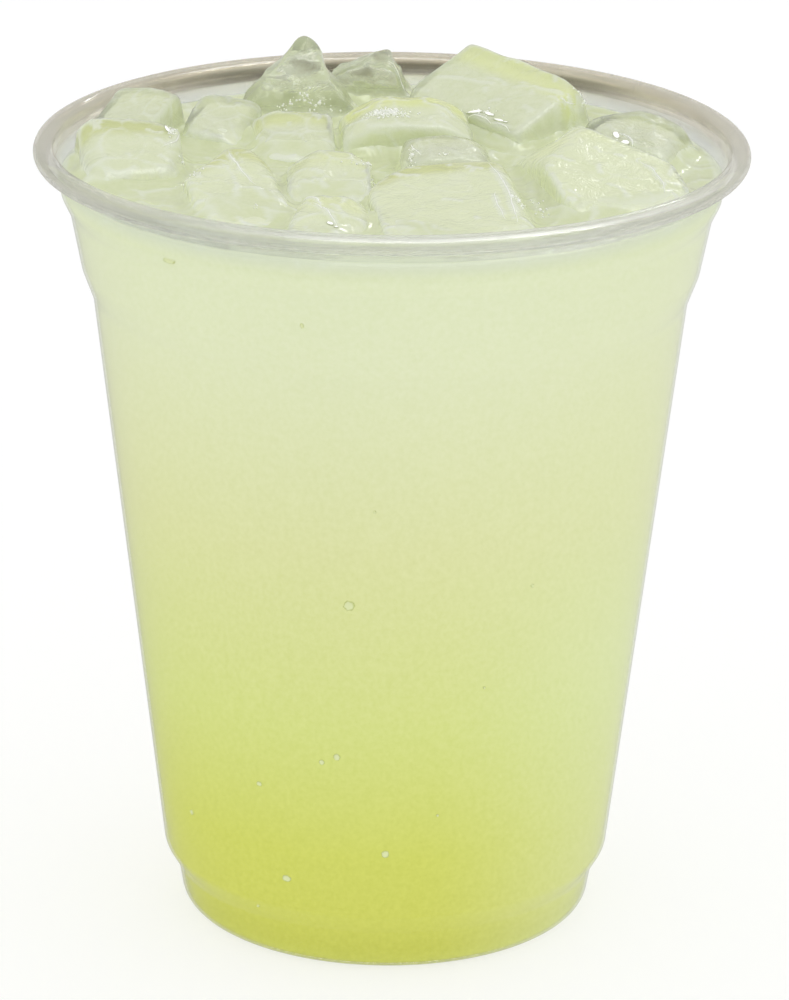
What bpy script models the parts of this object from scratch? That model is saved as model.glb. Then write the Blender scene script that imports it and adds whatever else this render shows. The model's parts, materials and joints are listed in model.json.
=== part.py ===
"""A clear plastic cup of iced lemonade: the cup, the drink and the blocks of ice that float in it."""

import math
from typing import NamedTuple

import bmesh
import bpy
from mathutils import Euler, Vector

# Every size below is in millimetres, and the scene is in metres.
MM = 0.001

# The cup
CUP_HEIGHT = 112.0
RIM_RADIUS = 49.3
WALL = 0.5
ROUND_SEGMENTS = 40
SEAM_MERGE = 0.01
BASE_RISE = 2.2
# Corners of the cup's outside from the middle of its base up to the rolled rim: radius, height, rounding.
OUTSIDE_CORNERS = (
    (0.0, BASE_RISE, 0.0),
    (22.2, BASE_RISE, 1.2),
    (24.0, 0.0, 0.7),
    (28.7, 0.0, 2.8),
    (29.75, 6.1, 1.4),
    (31.6, 9.2, 2.5),
    (41.2, 90.2, 4.0),
    (42.75, 94.4, 4.0),
    (44.3, 102.4, 2.0),
    (45.5, 104.9, 2.0),
    (46.2, 109.2, 0.0),
)
ROLL_HALF_WIDTH = 1.5
ROLL_HALF_HEIGHT = 1.4
ROLL_END = math.radians(-115)
ROLL_STEPS = 7
LEAST_ROUNDING = 0.2
ROUNDING_STEP = math.radians(25)

# The drink
LEVEL = 107.4
GAP = 0.3
POCKET_GAP = 0.5

# The ice. A block is a box with broken corners that melting has rounded.
ICE_WAVE = 0.073
ICE_WAVE_LENGTH = 5.5
ICE_TAPER = 0.4


class Block(NamedTuple):
    """One block of ice before melting rounds it. Turns are in degrees about X, Y and Z.

    A break is a direction in the block's own axes and how far from its middle the broken face lies.
    A peak is a direction, how far the point is drawn out, and how wide in degrees it spreads.
    """

    middle: tuple
    size: tuple
    turn: tuple
    sharpness: float
    breaks: tuple = ()
    cuts: int = 3
    peak: tuple = None


ICE_BLOCKS = {
    "ice_front_centre": Block(
        middle=(8.4, -25.6, 103.0), size=(20.5, 30, 17), turn=(5.5, -6, 9), sharpness=9,
        breaks=(((-0.7, 0.7, 0.1), 14.0), ((0.85, 0.0, 0.5), 12.2)),
    ),
    "ice_front_right": Block(
        middle=(28.8, -9.2, 103.9), size=(18.5, 28, 17.5), turn=(13, 3, 14), sharpness=8,
        breaks=(((-0.6, 0.4, 0.7), 11.9), ((0.76, 0.6, 0.2), 9.6), ((0.7, -0.7, 0.0), 12.0)),
    ),
    "ice_front_left": Block(
        middle=(-21.6, -16.6, 102.9), size=(13.2, 27, 16), turn=(12, 3, 11), sharpness=8,
        breaks=(((0.8, 0.1, 0.6), 9.4), ((-0.75, 0.55, 0.35), 9.4), ((0.75, -0.6, 0.2), 11.4)),
    ),
    "ice_front_rim": Block(
        middle=(-8.6, -31.8, 102.6), size=(11.4, 15, 16), turn=(11, 9, -4), sharpness=7,
        breaks=(((0.75, 0.0, 0.65), 8.2),),
    ),
    "ice_middle_left": Block(
        middle=(-8.5, -10.6, 102.9), size=(11.6, 16, 16), turn=(15, 0, 2), sharpness=8,
        breaks=(((-0.6, 0.2, 0.7), 8.8),),
    ),
    "ice_middle_dome": Block(
        middle=(7.2, -1.4, 104.4), size=(13, 12, 16), turn=(4, 0, 2), sharpness=5,
        breaks=(((0.7, 0.0, 0.7), 8.8), ((-0.7, 0.0, 0.7), 9.0)),
    ),
    "ice_middle_back": Block(
        middle=(1.8, 12.6, 105.0), size=(18.5, 12, 18), turn=(10, 2, 4), sharpness=7,
        breaks=(((-0.55, 0.1, 0.8), 9.8), ((0.6, 0.0, 0.8), 10.4)),
    ),
    "ice_left_centre": Block(
        middle=(-13.4, 10.8, 103.1), size=(11.5, 15, 15.5), turn=(16, -3, 4), sharpness=7,
        breaks=(((-0.6, 0.0, 0.8), 8.2),),
    ),
    "ice_left_wall": Block(
        middle=(-35.9, -1.2, 104.0), size=(14.4, 16.4, 17), turn=(15, 2, 10), sharpness=8,
        breaks=(((0.8, -0.2, 0.6), 9.4), ((-0.7, 0.0, 0.7), 9.8)),
    ),
    "ice_left_back": Block(
        middle=(-35.4, 15.8, 105.0), size=(9.8, 13, 16.5), turn=(14, -2, -20), sharpness=8,
        breaks=(((-0.7, 0.0, 0.7), 8.6),),
    ),
    "ice_left_back_small": Block(
        middle=(-24.2, 18.2, 103.9), size=(9.0, 12.2, 15.5), turn=(16, 4, -16), sharpness=7,
        breaks=(((0.7, 0.0, 0.7), 7.6),),
    ),
    "ice_back_peak": Block(
        middle=(-12.6, 28.6, 106.2), size=(17.5, 10.5, 21), turn=(-4, 0, 0), sharpness=9,
        breaks=(((-0.74, 0.1, 0.66), 9.4), ((0.82, 0.1, 0.58), 7.5), ((0.0, -0.9, 0.45), 6.8)),
        cuts=4, peak=((0.0, 0.0, 1.0), 3.4, 22.0),
    ),
    "ice_back_shard": Block(
        middle=(-3.2, 38.0, 105.0), size=(12, 7, 19), turn=(-2, 0, -4), sharpness=9,
        breaks=(((0.8, 0.0, 0.6), 7.2), ((-0.4, 0.0, 0.9), 8.6)),
        peak=((0.16, 0.0, 1.0), 1.8, 16.0),
    ),
    "ice_back_slab": Block(
        middle=(15.8, 25.2, 106.6), size=(24, 14.5, 17), turn=(24, 5, -46), sharpness=10,
        breaks=(((-0.8, 0.0, 0.6), 14.0),),
    ),
    "ice_right_wall": Block(
        middle=(34.2, 9.8, 103.8), size=(16, 12, 16), turn=(9, 6, -30), sharpness=6,
        breaks=(((0.8, 0.2, 0.55), 8.8),),
    ),
}


def clear_scene():
    for item in list(bpy.data.objects):
        bpy.data.objects.remove(item, do_unlink=True)


def new_collection(name):
    collection = bpy.data.collections.new(name)
    bpy.context.scene.collection.children.link(collection)
    return collection


def principled(name, color, roughness, transmission, ior):
    material = bpy.data.materials.new(name)
    material.use_nodes = True
    shader = material.node_tree.nodes["Principled BSDF"]
    shader.inputs["Base Color"].default_value = (*color, 1.0)
    shader.inputs["Roughness"].default_value = roughness
    shader.inputs["Metallic"].default_value = 0.0
    shader.inputs["Transmission Weight"].default_value = transmission
    shader.inputs["IOR"].default_value = ior
    return material


def add_object(name, mesh, collection, material=None):
    item = bpy.data.objects.new(name, mesh)
    collection.objects.link(item)
    if material:
        mesh.materials.append(material)
    return item


def degrees(*angles):
    return tuple(math.radians(angle) for angle in angles)


def moved_inward(corners, distance):
    """The same corners on a line parallel to the first, on its left, as the inside of a wall is."""
    points = [Vector(corner[:2]) for corner in corners]
    moved = []
    for index, (radius, height, rounding) in enumerate(corners):
        sides = []
        for first, second in ((index - 1, index), (index, index + 1)):
            if first >= 0 and second < len(points):
                along = (points[second] - points[first]).normalized()
                sides.append(Vector((-along.y, along.x)))
        bisector = sum(sides, Vector((0.0, 0.0))).normalized()
        step = bisector * distance / bisector.dot(sides[0])
        if len(sides) == 2:
            turns_left = sides[0].cross(sides[1]) > 0
            rounding += -distance if turns_left else distance
        if radius == 0.0:
            step.x = 0.0
        moved.append((radius + step.x, height + step.y, max(rounding, LEAST_ROUNDING)))
    return moved


def rounded_line(corners):
    """The points of a line through these corners, each corner rounded by its own radius."""
    points = [Vector(corner[:2]) for corner in corners]
    line = [points[0]]
    for index in range(1, len(points) - 1):
        before = (points[index - 1] - points[index]).normalized()
        after = (points[index + 1] - points[index]).normalized()
        half_angle = before.angle(after) / 2
        reach = corners[index][2] / math.tan(half_angle)
        steps = math.ceil((math.pi - 2 * half_angle) / ROUNDING_STEP)
        start = points[index] + before * reach
        end = points[index] + after * reach
        for step in range(steps + 1):
            t = step / steps
            line.append((1 - t) ** 2 * start + 2 * t * (1 - t) * points[index] + t ** 2 * end)
    line.append(points[-1])
    return [(point.x, point.y) for point in line]


def roll_line(inset):
    """The rim's rolled edge, from the inner wall over the top and round to the roll's end."""
    middle = (RIM_RADIUS - ROLL_HALF_WIDTH, CUP_HEIGHT - ROLL_HALF_HEIGHT)
    line = []
    for step in range(ROLL_STEPS + 1):
        angle = math.pi + (ROLL_END - math.pi) * step / ROLL_STEPS
        line.append((
            middle[0] + (ROLL_HALF_WIDTH - inset) * math.cos(angle),
            middle[1] + (ROLL_HALF_HEIGHT - inset) * math.sin(angle),
        ))
    return line


def turned(name, profile, collection, material):
    """A solid of revolution from a profile that runs down its outer side."""
    mesh = bpy.data.meshes.new(name)
    outline = bmesh.new()
    points = [outline.verts.new((radius * MM, 0.0, height * MM)) for radius, height in profile]
    for first, second in zip(points, points[1:]):
        outline.edges.new((first, second))
    outline.to_mesh(mesh)
    outline.free()
    item = add_object(name, mesh, collection, material)
    screw = item.modifiers.new("Turn", "SCREW")
    screw.steps = ROUND_SEGMENTS
    screw.render_steps = ROUND_SEGMENTS
    screw.use_merge_vertices = True
    screw.merge_threshold = SEAM_MERGE * MM
    screw.use_smooth_shade = True
    return item


def build_cup(collection):
    plastic = principled(
        "clear_plastic", color=(0.95, 0.96, 0.94), roughness=0.06, transmission=1.0, ior=1.57
    )
    inner = rounded_line(moved_inward(OUTSIDE_CORNERS, WALL))
    outer = rounded_line(OUTSIDE_CORNERS)
    profile = inner + roll_line(0.0) + roll_line(WALL)[::-1] + outer[::-1]
    return turned("cup", profile, collection, plastic)


def build_drink(collection, cutters):
    lemonade = principled(
        "cloudy_lemonade", color=(0.70, 0.76, 0.42), roughness=0.12, transmission=0.25, ior=1.34
    )
    side = rounded_line(moved_inward(OUTSIDE_CORNERS, WALL + GAP))
    below = [point for point in side if point[1] < LEVEL]
    low, high = below[-1], side[len(below)]
    share = (LEVEL - low[1]) / (high[1] - low[1])
    edge = (low[0] + (high[0] - low[0]) * share, LEVEL)
    profile = [(0.0, LEVEL), edge] + below[::-1]
    drink = turned("lemonade", profile, collection, lemonade)
    pockets = drink.modifiers.new("Ice pockets", "BOOLEAN")
    pockets.operation = "DIFFERENCE"
    pockets.operand_type = "COLLECTION"
    pockets.collection = cutters
    return drink


def melted_mesh(name, block, growth):
    """A box whose faces and breaks blend into each other, as the edges of melting ice do."""
    half = [side / 2 for side in block.size]
    broken = [(Vector(direction).normalized(), reach) for direction, reach in block.breaks]
    place = Euler(degrees(*block.turn)).to_matrix()
    form = bmesh.new()
    bmesh.ops.create_cube(form, size=2.0)
    bmesh.ops.subdivide_edges(form, edges=form.edges[:], cuts=block.cuts, use_grid_fill=True)
    for vert in form.verts:
        point = Vector(part * side for part, side in zip(vert.co, half))
        fill = sum(abs(part / side) ** block.sharpness for part, side in zip(point, half))
        for normal, reach in broken:
            fill += max(0.0, point.dot(normal) / reach) ** block.sharpness
        point *= fill ** (-1 / block.sharpness)
        narrowing = 1 - ICE_TAPER * max(0.0, -point.z / half[2])
        point.x *= narrowing
        point.y *= narrowing
        turned_point = place @ point
        wave = sum(math.sin(part * math.tau / ICE_WAVE_LENGTH + block.size[0]) for part in turned_point)
        point *= 1 + ICE_WAVE * wave / point.length
        if block.peak:
            direction, drawn_out, width = block.peak
            upward = Vector(direction).normalized()
            spread = point.angle(upward) / math.radians(width)
            point += upward * drawn_out * math.exp(-spread ** 2)
        vert.co = (place @ point + Vector(block.middle)) * MM
    form.normal_update()
    for vert in form.verts:
        vert.co += vert.normal * growth * MM
    mesh = bpy.data.meshes.new(name)
    form.to_mesh(mesh)
    form.free()
    mesh.shade_smooth()
    return mesh


def build_ice(collection, cutters):
    ice = principled("clear_ice", color=(0.84, 0.88, 0.76), roughness=0.08, transmission=0.6, ior=1.31)
    for name, block in ICE_BLOCKS.items():
        add_object(name, melted_mesh(name, block, growth=0.0), collection, ice)
        pocket_name = name.replace("ice_", "pocket_")
        pocket = melted_mesh(pocket_name, block, growth=POCKET_GAP)
        cutter = add_object(pocket_name, pocket, cutters)
        cutter.hide_render = True
        cutter.display_type = "WIRE"


def main():
    clear_scene()
    parts = new_collection("Cup of lemonade")
    cutters = new_collection("Ice pockets")
    build_ice(parts, cutters)
    build_cup(parts)
    build_drink(parts, cutters)


main()
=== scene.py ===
"""The looks of a clear plastic cup of iced lemonade: the cup, drink, ice, froth and studio."""

import json
import math
import random
from typing import NamedTuple

import bmesh
import bpy
from mathutils import Euler, Matrix, Vector, noise
from mathutils.bvhtree import BVHTree
from mathutils.kdtree import KDTree

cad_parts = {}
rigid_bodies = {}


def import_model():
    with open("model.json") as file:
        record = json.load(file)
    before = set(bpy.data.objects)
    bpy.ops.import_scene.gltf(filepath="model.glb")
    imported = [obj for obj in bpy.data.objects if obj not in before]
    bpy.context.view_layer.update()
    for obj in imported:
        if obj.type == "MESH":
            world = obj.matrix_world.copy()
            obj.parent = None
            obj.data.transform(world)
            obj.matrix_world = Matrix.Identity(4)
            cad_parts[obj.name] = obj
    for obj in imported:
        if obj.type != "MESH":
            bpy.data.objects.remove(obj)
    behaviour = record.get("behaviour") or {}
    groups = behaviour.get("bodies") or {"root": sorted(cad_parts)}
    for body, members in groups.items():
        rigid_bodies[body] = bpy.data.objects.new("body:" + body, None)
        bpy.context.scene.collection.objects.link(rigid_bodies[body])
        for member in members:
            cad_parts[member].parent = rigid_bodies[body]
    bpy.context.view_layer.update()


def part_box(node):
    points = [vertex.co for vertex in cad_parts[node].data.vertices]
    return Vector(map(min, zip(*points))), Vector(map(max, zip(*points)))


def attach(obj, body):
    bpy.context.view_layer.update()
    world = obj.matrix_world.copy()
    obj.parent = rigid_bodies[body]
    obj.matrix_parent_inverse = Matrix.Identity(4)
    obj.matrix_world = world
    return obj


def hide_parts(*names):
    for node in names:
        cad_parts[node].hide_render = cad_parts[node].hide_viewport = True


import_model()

# Sizes are in millimetres unless a comment says otherwise, and the scene is in metres.
MM = 0.001
SEAM = 0.01

# The cup, from the middle of its base up to the rolled rim: radius, height, rounding.
WALL = 0.5
BASE_RISE = 2.2
CUP_CORNERS = (
    (0.0, BASE_RISE, 0.0),
    (22.2, BASE_RISE, 1.2),
    (24.0, 0.0, 0.7),
    (28.7, 0.0, 2.8),
    (29.75, 6.1, 1.4),
    (31.6, 9.2, 2.5),
    (41.2, 90.2, 4.0),
    (42.75, 94.4, 4.0),
    (44.3, 102.4, 2.0),
    (45.5, 104.9, 2.0),
    (46.2, 109.2, 0.0),
)
ROLL_HALF_WIDTH = 1.5
ROLL_HALF_HEIGHT = 1.4
ROLL_START = math.radians(-115)
ROLL_STEPS = 20
ROLL_JOIN = 0.3
ROUND_STEPS = 6
TIGHTEST_ROUNDING = 0.2
SEGMENTS = 320

# The drink
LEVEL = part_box("lemonade")[1].z / MM
SINK_INTO_WALL = 0.12
TOP_RING_STEP = 0.42
WALL_CREEP = 0.9
WALL_LEAN = 0.163
FILM_RISE = 2.3
FILM = 0.12
CREEP_REACH = 1.5
CALMING_PASSES = 12
CALM_AT_WALL = 3.0
SWELL = 0.4
SWELL_LENGTH = 9.0
SUNKEN_CELL = 6.5
SUNKEN_RELIEF = 0.9
LOOK_DOWN_FROM = 130.0

# The ice
ICE_TAPER = 0.4
ICE_STEP = 0.5
POCKET_STEP = 1.1
POCKET_INSET = 0.2
ICE_CRISPNESS = 2.8
SCALLOP_SHARE = 0.4
RIPPLE = 0.05
RIPPLE_LENGTH = 1.6
PATTERN_STEP = Vector((31.0, 17.0, 23.0))
RIDGE_SCALE = 0.04
RIDGE_PASSES = 4
FACETS = 6
FACET_DEPTH = (0.04, 0.2)
HOLLOW = 2.2
CORE_STEP = 1.2
CORE_DEPTH = (0.6, 3.0)
CORE_FROM_MILK = 0.5
CORE_LUMP = 0.5
CORE_LUMP_LENGTH = 2.5
TOP_MARGIN = 0.15
WALL_CLEARANCE = 0.5

# Where the three directions of a bend take their noise from, far from each other.
BEND_SHIFTS = (Vector((9.3, -1.5, -7.9)), Vector((40.7, 21.2, 3.6)), Vector((-33.4, 65.2, -24.6)))

# Hollows: how far apart their bends are, how strong the bends, and the depth that leaves a face as it was.
ICE_HOLLOWS = (7.0, 2.0, 0.4)
DRINK_HOLLOWS = (5.0, 2.5, 0.3)

# Where the ice is green, by share of its half height, and where it is wet and clear, above the drink. The
# wet edge is also painted lighter against the shade on the lower flanks.
BAND_WIDTH = 5.5
BAND_CLOUD = 0.7
BAND_HEIGHTS = (0.2, 0.6)
WET_AND_LIT_HEIGHTS = (-0.5, 2.5)
CLEAR_HEIGHTS = (0.6, 3.2)
CLEAR_SHARE = (0.94, 0.28)

# Froth. Each row: middle, reach both ways, turn in degrees, number of bubbles.
FROTH_SEED = 11
FROTH_SIZE = (0.07, 0.19)
FROTH_BIG_SHARE = 0.08
FROTH_BIG = 2.0
FROTH_OUT = 0.3
FROTH = (
    (-13.0, 23.6, 3.4, 0.8, 0, 150),
    (-16.5, 21.0, 1.4, 1.0, 0, 18),
    (-0.8, 9.2, 2.8, 1.8, 0, 190),
    (-1.0, -8.6, 3.8, 0.9, 8, 120),
    (2.6, -5.0, 0.5, 2.0, 0, 22),
    (7.0, -6.6, 0.8, 0.5, 0, 10),
    (-30.5, 1.5, 1.0, 1.6, 20, 22),
    (-29.0, -3.2, 0.5, 0.5, 0, 4),
    (-27.2, -12.5, 1.6, 2.6, 0, 10),
    (-18.0, -24.5, 1.0, 1.0, 0, 7),
    (12.6, 16.4, 2.6, 0.8, -20, 26),
    (27.2, 19.4, 1.6, 1.6, 0, 18),
    (20.0, -20.0, 1.0, 4.0, 10, 16),
    (17.0, -28.0, 0.8, 3.0, 10, 14),
    (33.0, -26.0, 2.0, 2.0, 0, 10),
)

# Bright lines on the ice: painted highlights along its wet ridges, on a little real relief. Each row:
# start, end, how far the middle bows to the left, width.
LINE_STEP = 0.3
LINE_STEPS = 6
LINE_WIGGLE = 0.25
LINE_WIGGLE_LENGTH = 2.6
LINE_FADE = 0.25
LINE_REACH = 1.4
LINE_SLIMMEST = 0.4
LINE_HEIGHT = 0.5
LINE_WHITE = 1.6
BRIGHT_WIDTH = 0.38
BRIGHT_END = 0.15
BRIGHT_LEAST = 0.6
BRIGHT_UNEVEN = 0.8
BRIGHT_WAVE = 1.3
BRIGHT_SHARE = 1 / 3
WRINKLES = 150
WRINKLE_SEED = 5
WRINKLE_LENGTH = (1.5, 6.0)
WRINKLE_WIDTH = (0.1, 0.34)
WRINKLE_TURN = (-100, -10)
WRINKLE_BOW = 0.25
WRINKLE_FIELD = 44.0
RIDGE_LINES = (
    (-22.4, -7.0, -18.2, -17.5, -0.5, 0.40),
    (-18.2, -17.5, -16.1, -22.2, -0.3, 0.35),
    (-24.1, -9.3, -20.8, -23.6, 1.3, 0.30),
    (-25.9, -13.1, -19.1, -16.1, 1.6, 0.22),
    (-25.4, -10.4, -21.0, -12.4, 1.0, 0.20),
    (-30.0, -19.1, -23.9, -23.3, -2.0, 0.22),
    (-12.5, -26.5, -9.1, -31.4, 0.8, 0.40),
    (-10.5, -29.5, -6.9, -36.3, 0.3, 0.40),
    (-31.6, -2.8, -29.4, 2.0, -0.9, 0.40),
    (-31.9, -4.8, -29.2, -5.7, -0.6, 0.28),
    (-33.0, -1.0, -30.6, -3.4, 0.5, 0.28),
    (-39.6, -9.6, -34.3, -7.7, -1.8, 0.22),
    (-38.2, 4.4, -31.8, 4.8, 0.6, 0.22),
    (-13.4, 14.6, -9.8, 11.3, 1.0, 0.28),
    (-11.5, 27.0, -5.4, 25.0, -0.6, 0.36),
    (-12.5, 25.9, -9.2, 23.8, -0.3, 0.35),
    (-18.5, 24.4, -14.4, 27.1, 0.8, 0.28),
    (-0.8, 36.4, 1.6, 34.7, 0.8, 0.40),
    (-7.9, 35.1, -2.2, 36.8, -0.3, 0.30),
    (10.4, 16.6, 13.7, 13.4, 0.3, 0.50),
    (13.7, 13.8, 16.4, 10.7, 0.2, 0.40),
    (23.4, 16.6, 25.5, 17.7, -0.3, 0.45),
    (22.3, 15.3, 23.8, 16.0, -0.2, 0.32),
    (5.2, 13.3, 8.7, 9.2, 0.6, 0.28),
    (2.6, -1.5, 4.0, -5.6, -0.3, 0.40),
    (2.4, 2.6, 12.4, 0.4, 1.4, 0.22),
    (-4.7, -11.4, 1.8, -11.8, 0.6, 0.32),
    (-13.4, -3.8, -4.6, -5.0, 0.4, 0.20),
    (13.1, -13.6, 16.6, -36.0, 0.5, 0.50),
    (13.8, -24.5, 15.1, -34.6, -0.4, 0.38),
    (-1.6, -13.4, 4.6, -11.9, 0.6, 0.24),
    (33.7, -8.4, 36.6, -18.0, 0.8, 0.42),
    (26.5, -23.1, 25.9, -25.9, 1.2, 0.34),
    (18.8, -5.0, 20.4, -24.5, -0.5, 0.34),
    (21.0, -13.5, 22.9, -25.1, 0.6, 0.24),
    (28.0, -16.2, 31.6, -21.2, 1.2, 0.24),
    (22.0, -3.2, 27.6, 2.6, 1.0, 0.34),
    (31.1, 7.0, 33.0, 0.6, 0.9, 0.55),
    (37.5, -14.0, 42.1, -4.8, 1.6, 0.24),
    (-28.1, -14.9, -24.9, -18.6, -1.6, 0.24),
    (4.8, 28.2, 15.8, 21.7, 0.4, 0.34),
    (15.8, 21.7, 24.6, 16.6, 0.2, 0.34),
    (24.6, 16.6, 27.2, 19.6, -0.3, 0.36),
)

# Bubbles on the wall. Each row: angle from the front, height, width and height of the bubble.
BUBBLE_THICKNESS = 0.36
WALL_BUBBLES = (
    (-8.0, 57.0, 1.5, 1.5),
    (-11.2, 33.9, 0.9, 1.1),
    (-14.8, 32.9, 0.8, 0.8),
    (-25.1, 13.9, 1.4, 1.0),
    (0.1, 19.2, 1.1, 1.1),
    (-31.1, 27.9, 0.9, 0.7),
    (-56.2, 19.2, 0.8, 0.8),
    (-15.5, 97.8, 0.5, 0.7),
    (31.8, 58.3, 0.5, 0.5),
    (22.0, 44.0, 0.35, 0.35),
    (-34.9, 8.2, 0.5, 0.5),
    (-2.6, 71.0, 0.35, 0.4),
    (12.5, 25.0, 0.4, 0.4),
    (-40.5, 104.3, 2.2, 0.9),
)

# Painted glints: white patches with a darker edge, whose middles glow, on the ice and the drink. Each row:
# place, length, width, turn in degrees.
GLINT_THICKNESS = 0.4
PAINTED_GLINTS = (
    (11.6, 16.9, 2.6, 1.1, -12),
    (13.6, 15.6, 1.8, 0.8, -40),
    (8.6, 18.3, 1.4, 0.6, -30),
    (14.9, 13.7, 2.0, 0.6, -38),
    (15.8, 12.9, 0.8, 0.3, -20),
    (31.0, 6.0, 1.0, 2.2, 10),
    (32.2, 3.2, 0.9, 2.0, 35),
    (33.0, 0.2, 0.5, 2.0, 15),
    (-31.0, 2.0, 0.5, 2.4, 20),
    (-8.0, -35.4, 1.1, 0.7, -40),
    (-7.2, -36.2, 0.6, 0.4, 10),
)
DROP_EDGE = (0.75, 0.4)
DROP_WAVES = 2.5
DROP_UNEVENNESS = 0.3


class Block(NamedTuple):
    """One block of ice. Sizes are before melting rounds it, and turns are in degrees about X, Y and Z.

    A break is a direction in the block's own axes and how far from its middle the broken face lies.
    A peak is a direction, how far the point is drawn out, and how wide in degrees it spreads.
    Milk is how cloudy the block looks, band how green its back top edge is and olive how dark that
    green is, all from 0 to 1. Scallop is how deep melting has hollowed its faces.
    """

    middle: tuple
    size: tuple
    turn: tuple
    sharpness: float
    milk: float
    band: float
    scallop: float
    olive: float = 0.0
    breaks: tuple = ()
    peak: tuple = None


ICE_BLOCKS = {
    "ice_front_centre": Block(
        middle=(8.4, -25.6, 103.0), size=(20.5, 30, 17), turn=(5.5, -6, 9), sharpness=9,
        milk=1.0, band=0.9, scallop=0.12, olive=0.8,
        breaks=(((-0.7, 0.7, 0.1), 14.0), ((0.85, 0.0, 0.5), 12.2)),
    ),
    "ice_front_right": Block(
        middle=(28.8, -9.2, 103.9), size=(18.5, 28, 17.5), turn=(13, 3, 14), sharpness=8,
        milk=1.0, band=0.25, scallop=0.15,
        breaks=(((-0.6, 0.4, 0.7), 11.9), ((0.76, 0.6, 0.2), 9.6), ((0.7, -0.7, 0.0), 12.0)),
    ),
    "ice_front_left": Block(
        middle=(-21.6, -16.6, 102.9), size=(13.2, 27, 16), turn=(12, 3, 11), sharpness=8,
        milk=0.95, band=0.8, scallop=0.3, olive=0.8,
        breaks=(((0.8, 0.1, 0.6), 9.4), ((-0.75, 0.55, 0.35), 9.4), ((0.75, -0.6, 0.2), 11.4)),
    ),
    "ice_front_rim": Block(
        middle=(-8.6, -31.8, 102.6), size=(11.4, 15, 16), turn=(11, 9, -4), sharpness=7,
        milk=0.95, band=0.4, scallop=0.3,
        breaks=(((0.75, 0.0, 0.65), 8.2),),
    ),
    "ice_middle_left": Block(
        middle=(-8.5, -10.6, 102.9), size=(11.6, 16, 16), turn=(15, 0, 2), sharpness=8,
        milk=0.9, band=0.35, scallop=0.3,
        breaks=(((-0.6, 0.2, 0.7), 8.8),),
    ),
    "ice_middle_dome": Block(
        middle=(7.2, -1.4, 104.4), size=(13, 12, 16), turn=(4, 0, 2), sharpness=5,
        milk=0.55, band=0.3, scallop=0.3,
        breaks=(((0.7, 0.0, 0.7), 8.8), ((-0.7, 0.0, 0.7), 9.0)),
    ),
    "ice_middle_back": Block(
        middle=(1.8, 12.6, 105.0), size=(18.5, 12, 18), turn=(10, 2, 4), sharpness=7,
        milk=0.85, band=0.95, scallop=0.3,
        breaks=(((-0.55, 0.1, 0.8), 9.8), ((0.6, 0.0, 0.8), 10.4)),
    ),
    "ice_left_centre": Block(
        middle=(-13.4, 10.8, 103.1), size=(11.5, 15, 15.5), turn=(16, -3, 4), sharpness=7,
        milk=0.75, band=0.7, scallop=0.35, olive=0.4,
        breaks=(((-0.6, 0.0, 0.8), 8.2),),
    ),
    "ice_left_wall": Block(
        middle=(-35.9, -1.2, 104.0), size=(14.4, 16.4, 17), turn=(15, 2, 10), sharpness=8,
        milk=0.85, band=0.8, scallop=0.35, olive=1.0,
        breaks=(((0.8, -0.2, 0.6), 9.4), ((-0.7, 0.0, 0.7), 9.8)),
    ),
    "ice_left_back": Block(
        middle=(-35.4, 15.8, 105.0), size=(9.8, 13, 16.5), turn=(14, -2, -20), sharpness=8,
        milk=0.65, band=0.15, scallop=0.2,
        breaks=(((-0.7, 0.0, 0.7), 8.6),),
    ),
    "ice_left_back_small": Block(
        middle=(-24.2, 18.2, 103.9), size=(9.0, 12.2, 15.5), turn=(16, 4, -16), sharpness=7,
        milk=0.7, band=0.1, scallop=0.25,
        breaks=(((0.7, 0.0, 0.7), 7.6),),
    ),
    "ice_back_peak": Block(
        middle=(-12.6, 28.6, 106.2), size=(17.5, 10.5, 21), turn=(-4, 0, 0), sharpness=9,
        milk=0.25, band=0.0, scallop=0.55,
        breaks=(((-0.74, 0.1, 0.66), 9.4), ((0.82, 0.1, 0.58), 7.5), ((0.0, -0.9, 0.45), 6.8)),
        peak=((0.0, 0.0, 1.0), 4.6, 17.0),
    ),
    "ice_back_shard": Block(
        middle=(-3.2, 38.0, 105.0), size=(12, 7, 19), turn=(-2, 0, -4), sharpness=9,
        milk=0.25, band=0.1, scallop=0.5,
        breaks=(((0.8, 0.0, 0.6), 7.2), ((-0.4, 0.0, 0.9), 8.6)),
        peak=((0.16, 0.0, 1.0), 1.8, 16.0),
    ),
    "ice_back_slab": Block(
        middle=(15.8, 25.2, 106.6), size=(24, 14.5, 17), turn=(24, 5, -46), sharpness=10,
        milk=0.72, band=0.65, scallop=0.15,
        breaks=(((-0.8, 0.0, 0.6), 14.0),),
    ),
    "ice_right_wall": Block(
        middle=(34.2, 9.8, 103.8), size=(16, 12, 16), turn=(9, 6, -30), sharpness=6,
        milk=0.5, band=0.2, scallop=0.3,
        breaks=(((0.8, 0.2, 0.55), 8.8),),
    ),
}


def srgb(red, green, blue):
    """A colour as seen on screen, 0 to 255, in the linear values that shaders take."""
    def linear(value):
        share = value / 255
        return share / 12.92 if share <= 0.04045 else ((share + 0.055) / 1.055) ** 2.4
    return (linear(red), linear(green), linear(blue), 1.0)


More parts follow.
